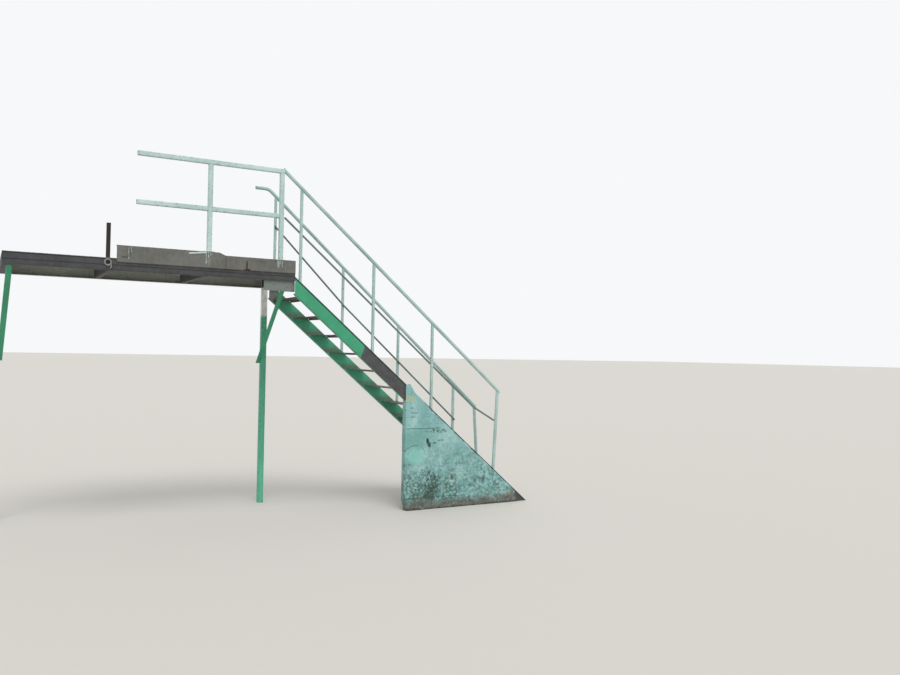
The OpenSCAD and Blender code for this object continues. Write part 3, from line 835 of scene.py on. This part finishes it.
# Stair posts: square tube cut on both slopes
stairPost = {"size": 0.026, "wall": 0.003, "corner": 0.003}
postFeet = []
for sideName, railZ, drop in (("near", nearRailZ, nearDrop), ("far", farRailZ, farDrop)):
    for i in range(1, 5):
        node = "%s_post_%d" % (sideName, i)
        if node not in cad:
            continue
        low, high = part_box(node)
        x, y = (low.x + high.x) / 2, (low.y + high.y) / 2
        under = rail["radius"] / math.cos(math.atan(drop))
        foot, top = Vector((x, y, stringTop(x))), Vector((x, y, railZ(x) - under))
        shape = Shape()
        size = stairPost["size"]
        shape.bar(squareLoop(size, stairPost["corner"]), foot, top, xAxis, yAxis,
                  cuts=(slopeUp, Vector((drop, 0, 1)).normalized()),
                  hole=squareLoop(size - 2 * stairPost["wall"], stairPost["corner"] / 2))
        shape.piece("%sPost%d" % (sideName, i), "mintRail", "mint_rail_paint", [node])
        postFeet.append((foot, size))
print("rails made")

# Guard: square tube, with rounded corners and weld beads where tubes meet
guard = {"size": 0.042, "wall": 0.003, "corner": 0.005, "inner": 0.0025, "plate": 0.006, "plateCorner": 0.004}


def tube(shape, start, end, side, up, size=guard["size"]):
    shape.bar(squareLoop(size, guard["corner"]), start, end, side, up,
              hole=squareLoop(size - 2 * guard["wall"], guard["inner"]))


def middleOf(node):
    low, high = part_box(node)
    return low, high, (low + high) / 2


def uprightTube(name, node, material, slotName, size=guard["size"]):
    low, high, mid = middleOf(node)
    shape = Shape()
    foot = Vector((mid.x, mid.y, low.z))
    tube(shape, foot, Vector((mid.x, mid.y, high.z)), xAxis, yAxis, size)
    shape.piece(name, material, slotName, [node])
    return foot


low, high, mid = middleOf("guard_top_rail")
shape = Shape()
tube(shape, Vector((low.x, mid.y, mid.z)), Vector((high.x, mid.y, mid.z)), yAxis, zAxis)
shape.piece("guardTopRail", "mintGuard", "mint_guard_paint", ["guard_top_rail"])
low, high, mid = middleOf("guard_post")
shape = Shape()
half = guard["size"] / 2
guardPost = Vector((mid.x, low.y + half, low.z + guard["plate"]))
tube(shape, guardPost, Vector((mid.x, low.y + half, high.z)), xAxis, yAxis)
plate = plateLoop(high.x - low.x, high.y - low.y, guard["plateCorner"])
shape.bar(plate, low, Vector((low.x, low.y, guardPost.z)), xAxis, yAxis)
shape.piece("guardPost", "mintGuard", "mint_guard_paint", ["guard_post"])
cornerPost = uprightTube("cornerPost", "corner_post", "mintGuard", "mint_guard_paint")
low, high, mid = middleOf("guard_mid_rail")
shape = Shape()
tube(shape, Vector((low.x, mid.y, mid.z)), Vector((guardPost.x - half, mid.y, mid.z)), yAxis, zAxis)
tube(shape, Vector((guardPost.x + half, mid.y, mid.z)), Vector((high.x, mid.y, mid.z)), yAxis, zAxis)
shape.piece("guardMidRail", "mintGuard", "mint_guard_paint", ["guard_mid_rail"])
midRailZ = mid.z
stub = {"size": 0.034}
stubFoot = uprightTube("stubPost", "stub_post", "stubBrown", "brown_paint", stub["size"])
print("guard made")

# Landing: beams as rolled channels, the deck as three sheets, the kerb as folded plates
beam = {"flange": 0.05, "web": 0.006, "thick": 0.008, "toe": 0.0025, "fillet": 0.006}
kerb = {"thick": 0.006, "fold": 0.007, "edge": 0.0015, "ramp": 0.06, "rise": 0.025, "wave": 0.0012}


def beamLoop(node):
    low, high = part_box(node)
    return channelLoop(high.z - low.z, beam)


def rolledBeam(name, node, material, side):  # side: the way its flanges point
    low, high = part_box(node)
    start = Vector([b if s < 0 else a for a, b, s in zip(low, high, side)])
    along = yAxis if side.x else xAxis
    shape = Shape()
    shape.bar(beamLoop(node), start, start + along * (high - low).dot(along), side, zAxis)
    shape.piece(name, material, "dark_grey_steel", [node])


rolledBeam("frontBeam", "front_beam", "frontBeam", yAxis)
# the back beam's pale paint is painted light on a face in the deck's shade
rolledBeam("backBeam", "back_beam", "paleLitSteel", -yAxis)
rolledBeam("headerBeam", "header_beam", "darkSteel", -xAxis)
rolledBeam("endBeam", "end_beam", "darkSteel", xAxis)
low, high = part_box("joists")
shape = Shape()
for x in (low.x, high.x - beam["flange"]):
    shape.bar(beamLoop("joists"), Vector((x, low.y, low.z)), Vector((x, high.y, low.z)), xAxis, zAxis)
shape.piece("joists", "darkSteel", "dark_grey_steel", ["joists"])
print("beams made")

# Deck sheets with a thin joint between them
deck = {"sheets": 3, "joint": 0.003, "corner": 0.0012}
low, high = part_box("deck_plate")
shape = Shape()
sheet = (high.x - low.x) / deck["sheets"]
for i in range(deck["sheets"]):
    x0 = low.x + i * sheet + (deck["joint"] / 2 if i else 0)
    x1 = low.x + (i + 1) * sheet - (deck["joint"] / 2 if i + 1 < deck["sheets"] else 0)
    outline = plateLoop(high.y - low.y, high.z - low.z, deck["corner"])
    shape.bar(outline, Vector((x0, low.y, low.z)), Vector((x1, low.y, low.z)), yAxis, zAxis)
shape.piece("deckSheets", "deckSteel", "dark_grey_steel", ["deck_plate"])


def kerbPiece(name, node, ramp):
    low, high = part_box(node)
    t, r, edge = kerb["thick"], kerb["fold"], kerb["edge"]
    tall, deep = high.z - low.z, high.y - low.y
    outline = rounded([(0, 0, edge), (t, 0, edge), (t, tall - t, r - t), (deep, tall - t, edge),
                       (deep, tall, edge), (0, tall, r)], 0.006, 4)

    def slopeOff(p):
        past = (p.x - (high.x - kerb["ramp"])) / kerb["ramp"] if ramp else 0
        wave = noise.noise(Vector((p.x * 5, 3, 0))) * kerb["wave"]
        up = max(0, (p.z - low.z) / tall)
        return Vector((0, abs(wave) * up, -kerb["rise"] * max(0, min(1, past)) * up * up))

    shape = Shape()
    shape.bar(outline, low.copy(), Vector((high.x, low.y, low.z)), yAxis, zAxis, sway=slopeOff, gap=0.03)
    shape.piece(name, "kerbSteel", "light_grey_steel", [node])


kerbPiece("kerbLow", "kerb_low", False)
kerbPiece("kerbHigh", "kerb_high", True)

splice = {"corner": 0.004}
low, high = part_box("splice_plate")
shape = Shape()
plate = plateLoop(high.x - low.x, high.z - low.z, splice["corner"])
shape.bar(plate, Vector((low.x, high.y, low.z)), low, xAxis, zAxis)
shape.piece("splicePlate", "plateGrey", "dark_grey_steel", ["splice_plate"])

# Plate welded below the front beam, flush with the landing's end; the knee brace ends behind it
underPlate = {"left": -2.262, "bottom": 2.262, "front": 0.0, "thick": 0.008, "corner": 0.006,
              "topCorner": 0.001}
left, bottom, corner, topCorner = (underPlate[k] for k in ("left", "bottom", "corner", "topCorner"))
right, top = landingEnd - 0.002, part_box("front_beam")[0].z
front = Vector((0, underPlate["front"], 0))
plate = rounded([(left, bottom, corner), (right, bottom, corner), (right, top, topCorner),
                 (left, top, topCorner)])
shape = Shape()
shape.bar(plate, front + yAxis * underPlate["thick"], front, xAxis, zAxis)
shape.piece("underPlate", "plateGrey", "dark_grey_steel")
print("landing made")

# Posts and braces at the wall side
stand = {"wall": 0.005, "corner": 0.007, "inner": 0.003}
for name, node in (("standRight", "stand_right"), ("standLeft", "stand_left")):
    low, high, mid = middleOf(node)
    size = high.x - low.x
    foot, top = Vector((mid.x, mid.y, low.z)), Vector((mid.x, mid.y, high.z))
    shape = Shape()
    shape.bar(squareLoop(size, stand["corner"]), foot, top, xAxis, yAxis,
              hole=squareLoop(size - 2 * stand["wall"], stand["inner"]))
    shape.piece(name, "emeraldStand", "emerald_paint", [node])
brace = {"thick": 0.006, "toe": 0.002, "fillet": 0.005, "lean": 0.038}  # angle bars
for name, node, turn in (("braceRight", "knee_brace_right", 1), ("braceLeft", "knee_brace_left", -1)):
    low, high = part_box(node)
    size, t, toe = high.x - low.x, brace["thick"], brace["toe"]
    down = math.atan((high.z - low.z) / (high.y - low.y))
    outline = rounded([(0, 0, toe), (size, 0, toe), (size, t, toe), (t, t, brace["fillet"]), (t, size, toe),
                       (0, size, toe)])
    x = high.x if turn > 0 else low.x
    top, foot = Vector((x - turn * brace["lean"], low.y, high.z)), Vector((x, high.y, low.z))
    shape = Shape()
    up = Vector((0, math.sin(down), math.cos(down)))
    shape.bar(outline, top, foot, xAxis * -turn, up, cuts=(zAxis, yAxis))
    shape.piece(name, "emeraldBrace", "emerald_paint", [node])
print("posts made")

# Weld beads: radii, and where the treads are welded, measured from their back and front edges
weld = {"tread": 0.0035, "rail": 0.003, "guard": 0.0035, "stringer": 0.004, "tee": 0.005, "joint": 0.0032,
        "backRun": (0.012, 0.06), "frontRun": (0.07, 0.012), "inset": 0.001, "margin": 0.01}
welds, greenWelds, mintWelds, tee = Shape(), Shape(), Shape(), Shape()


def straightWeld(shape, a, b, radius):
    shape.bead([Vector(a), Vector(b)], radius)


def squareWeld(shape, foot, size, slope, radius):
    h = size / 2
    corners = [(-h, -h), (h, -h), (h, h), (-h, h)]
    shape.bead([foot + Vector((a, b, -slope * a)) for a, b in corners], radius, closed=True)


for k in range(1, flight["treads"] + 1):
    low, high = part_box("tread_%d" % k)
    for y in (low.y + weld["inset"], high.y - weld["inset"]):
        a, b = weld["backRun"]
        straightWeld(greenWelds, (low.x + a, y, high.z), (low.x + b, y, high.z), weld["tread"])
        a, b = weld["frontRun"]
        straightWeld(greenWelds, (high.x - a, y, high.z), (high.x - b, y, high.z), weld["tread"])
for foot, size in postFeet:
    squareWeld(mintWelds, foot, size, flight["slope"], weld["rail"])
for foot in (nearPostFoot, farPostFoot):
    r = rail["radius"]
    turns = [i * math.pi / 8 for i in range(16)]
    mintWelds.bead([foot + Vector((r * math.cos(t), r * math.sin(t), -flight["slope"] * r * math.cos(t)))
                    for t in turns], weld["rail"], closed=True)
squareWeld(mintWelds, guardPost, guard["size"], 0, weld["guard"])
squareWeld(mintWelds, cornerPost, guard["size"], 0, weld["guard"])
for x in (guardPost.x - half, guardPost.x + half, cornerPost.x - half):
    middle = Vector((x, cornerPost.y, midRailZ))
    corners = [Vector((0, a * half, b * half)) for a, b in ((-1, -1), (-1, 1), (1, 1), (1, -1))]
    mintWelds.bead([middle + corner for corner in corners], weld["rail"], closed=True)
squareWeld(welds, stubFoot, stub["size"], 0, weld["guard"])

# The landing's seams: kerb joint, the T-shaped mark, stitches along the kerb's foot
kerbLow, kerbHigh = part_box("kerb_low"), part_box("kerb_high")
kerbFace, kerbFoot = kerbLow[0].y, kerbLow[0].z
kerbSeams = {"tee": (-2.441, 2.447, 2.529), "barLeft": 0.021, "barRight": 0.035, "stitch": 0.035,
             "pitch": 0.21, "first": 0.05, "inset": 0.004}
k = kerbSeams
straightWeld(welds, (kerbLow[0].x, kerbFace, kerbFoot + k["inset"]),
             (kerbLow[0].x, kerbFace, kerbLow[1].z - k["inset"]), weld["joint"])
x, z0, z1 = k["tee"]
straightWeld(tee, (x, kerbFace, z0), (x + 0.002, kerbFace, z1), weld["tee"])
straightWeld(tee, (x - k["barLeft"], kerbFace, z0 - 0.003), (x + k["barRight"], kerbFace, z0), weld["tee"])
tee.piece("kerbTee", "stubBrown", "light_grey_steel")
x = kerbHigh[0].x + k["first"]
while x < landingEnd - k["first"]:
    y = kerbFace + kerb["thick"]
    straightWeld(welds, (x, y, kerbFoot), (x + k["stitch"], y, kerbFoot), weld["guard"])
    x += k["pitch"]
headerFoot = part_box("header_beam")[0].z
for y in (farString[0].y, nearString[1].y):
    straightWeld(greenWelds, (landingEnd, y, nearString[1].z - weld["margin"]),
                 (landingEnd, y, headerFoot + weld["margin"]), weld["stringer"])
welds.piece("landingWelds", "weld", "dark_grey_steel")
greenWelds.piece("treadWelds", "greenWeld", "emerald_paint")
mintWelds.piece("railWelds", "mintWeld", "mint_guard_paint")
print("welds made")

# Lifting ring welded on the front beam, with the tail of rod that runs down at its right
rod = eye["rod"]
radius = eye["outer"] - rod
middle = Vector((eye["x"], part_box("front_beam")[0].y - rod * 0.8, eye["z"]))
turns = [i * math.pi / 14 for i in range(29)]
shape = Shape()
shape.pipe([middle + radius * Vector((math.cos(t), 0, math.sin(t))) for t in turns], rod, sides=12, worn=0.5)
tail = middle + Vector((radius, 0, 0))
shape.pipe([tail, tail + Vector((0.002, 0, -eye["tail"] * 0.6)), tail + Vector((-0.004, 0, -eye["tail"]))],
           rod * 0.8, sides=10)
shape.piece("liftingRing", "ringSteel", "light_grey_steel")

# Paint runs (x, top, length, width) and a strap end, all lying on the kerb's face
drips = [(-2.826, 2.583, 0.105, 0.0055), (-2.806, 2.588, 0.05, 0.005), (-2.785, 2.588, 0.03, 0.0045),
         (-2.092, 2.565, 0.07, 0.006), (-2.112, 2.566, 0.045, 0.005), (-2.135, 2.566, 0.03, 0.004),
         (-3.507, 2.585, 0.115, 0.0045), (-3.486, 2.588, 0.05, 0.004)]
drip = {"proud": 0.0016, "sunk": 0.0005, "steps": 14, "sides": 10, "bead": 0.75, "end": 0.93, "least": 0.0006}


def paintRun(shape, x, top, length, width):
    rings = []
    turns = [2 * math.pi * k / drip["sides"] for k in range(drip["sides"])]
    for i in range(drip["steps"] + 1):
        s = i / drip["steps"]
        wide = width * (0.35 + 0.125 * math.sin(s * 9 + x * 40) + 1.6 * max(0, s - drip["bead"]))
        wide = max(drip["least"], wide * min(1, 1 - (s - drip["end"]) * 9))
        spot = Vector((x + 0.0012 * math.sin(s * 7 + x * 30), kerbFace, top - s * length))
        rings.append([spot + Vector((wide * math.cos(t), -drip["proud"] * max(0, math.sin(t))
                                     + drip["sunk"] * (math.sin(t) < 0), 0)) for t in turns])
    shape.skin(rings, [[0.0] * drip["sides"] for _ in rings])


shape = Shape()
for values in drips:
    paintRun(shape, *values)
shape.piece("paintRuns", "mintGuard", "mint_guard_paint")
strap = {"from": (-2.985, 2.563), "to": (-2.825, 2.581), "wide": 0.014, "thick": 0.005, "corner": 0.002}
h, t, r = strap["wide"] / 2, strap["thick"], strap["corner"]
(x0, z0), (x1, z1) = strap["from"], strap["to"]
shape = Shape()
shape.bar(rounded([(0, -h, r), (t, -h, r), (t, h, r), (0, h, r)], 0.001), Vector((x0, kerbFace, z0)),
          Vector((x1, kerbFace, z1)), -yAxis, zAxis, gap=0.02)
shape.piece("kerbStrap", "mintGuard", "mint_guard_paint")
print("small parts made")

# Masonry: the frame's wall remeshed fine, then trowel marks, chipped arrises, a worn top and a spread foot
wall = {"voxel": 0.0065, "trowel": 0.004, "grain": 0.0012, "chip": 0.016, "arris": 0.985, "arrisBlend": 0.2,
        "skirt": 0.032, "skirtHeight": 0.07, "corner": 0.045, "cornerHeight": 0.11, "cornerReach": 0.12,
        "worn": 0.016, "wornFrom": -0.52, "wornReach": 0.07, "footBand": 0.004}


def lump(x, y, z):
    return noise.noise(Vector((x, y, z)))


def roughWall():
    mesh = cad["masonry_wall"].data.copy()
    mesh.name = "masonryWall"
    obj = bpy.data.objects.new("masonryWall", mesh)
    bpy.context.scene.collection.objects.link(obj)
    remesh = obj.modifiers.new("remesh", "REMESH")
    remesh.mode = "VOXEL"
    remesh.voxel_size = wall["voxel"] * 1
    bpy.context.view_layer.update()
    done = bpy.data.meshes.new_from_object(obj.evaluated_get(bpy.context.evaluated_depsgraph_get()))
    obj.modifiers.clear()
    obj.data = done
    low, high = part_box("masonry_wall")
    normals = [v.normal.copy() for v in done.vertices]
    skinBack = nearString[0].y + 0.004
    for v, n in zip(done.vertices, normals):
        p = v.co.copy()
        flat = max(abs(n.x), abs(n.y), abs(n.z), abs(n.dot(slopeUp)))
        arris = max(0, min(1, (wall["arris"] - flat) / wall["arrisBlend"]))
        dip = wall["trowel"] * (0.5 + 0.5 * noise.noise(p * 4)) + wall["grain"] * noise.noise(p * 31)
        dip += wall["chip"] * arris * max(0, noise.noise(p * 17) + 0.25) * (0.6 + 0.4 * noise.noise(p * 61))
        spot = p - n * max(0, dip)
        # the skin over the stringer has crumbled along its sloping top
        under = (stringTop(p.x) - p.z) * math.cos(flight["angle"])
        if p.y < skinBack and p.x > wall["wornFrom"] and under < wall["wornReach"]:
            ragged = wall["worn"] * (0.75 + 0.5 * lump(p.x * 9, 4, 1) + 0.35 * lump(p.x * 37, 1, 4))
            ease = min(1, (p.x - wall["wornFrom"]) / 0.1)
            spot -= slopeUp * ragged * ease * max(0, min(1, 1 - under / wall["wornReach"]))
        rising = max(0, 1 - (p.z - low.z) / wall["skirtHeight"])
        if p.x > high.x - 0.02:
            spot.x += wall["skirt"] * rising * rising * (0.6 + 0.4 * lump(p.y * 20, p.z * 20, 2))
        rising = max(0, 1 - (p.z - low.z) / wall["cornerHeight"])
        side = max(0, 1 - (p.x - low.x) / wall["cornerReach"])
        spot.x += wall["corner"] * rising * side * (0.7 + 0.5 * lump(3, p.y * 12, p.z * 25))
        if p.z < low.z + wall["footBand"]:
            spot.z = low.z
        spot.y = max(spot.y, low.y + 0.0004)
        spot.z = max(spot.z, low.z)
        v.co = spot
    done.attributes.new("wear", "FLOAT", "POINT")
    done.materials.clear()
    done.materials.append(materials["render"])
    done.shade_smooth()
    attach(obj, "root")
    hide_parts("masonry_wall")
    return len(done.polygons)


print("masonry made:", roughWall(), "faces")

for node in ("near_mid_rail", "far_mid_rail"):
    for spot in cad[node].material_slots:
        spot.material = materials["greyMint"]

# Plain studio: soft sky, one wide lamp from above, pale floor, white backdrop for camera and gloss rays
studio = {"sky": 0.62, "lamp": 1.5, "lampTurn": (0.62, 0.12, -0.42), "lampWide": 0.6, "floor": "#d6d3cc",
          "backdrop": (0.93, 0.94, 0.95, 1)}
scene = bpy.context.scene
scene.view_settings.view_transform = "Standard"
scene.world = bpy.data.worlds.new("studio")
scene.world.use_nodes = True
air = Finish(scene.world.node_tree)
seen = air.node("LightPath", output=0)
for other in (3, 6):
    seen = seen.most(air.node("LightPath", output=other))
soft = air.node("Background", {}, {"Color": (1, 1, 1, 1), "Strength": studio["sky"]})
white = air.node("Background", {}, {"Color": studio["backdrop"], "Strength": 1.0})
air.node("OutputWorld", {}, {"Surface": air.node("MixShader", {}, {0: seen, 1: soft, 2: white})})
lamp = bpy.data.objects.new("lamp", bpy.data.lights.new("lamp", "SUN"))
lamp.data.energy = studio["lamp"]
lamp.data.angle = studio["lampWide"]
lamp.rotation_euler = studio["lampTurn"]
scene.collection.objects.link(lamp)
bpy.ops.mesh.primitive_plane_add(size=400)
floor = bpy.context.object
floor.name = "floor"
floor.data.materials.append(makeMaterial("floor", lambda f: {"color": studio["floor"], "rough": 0.8}, {}))
print("studio set")
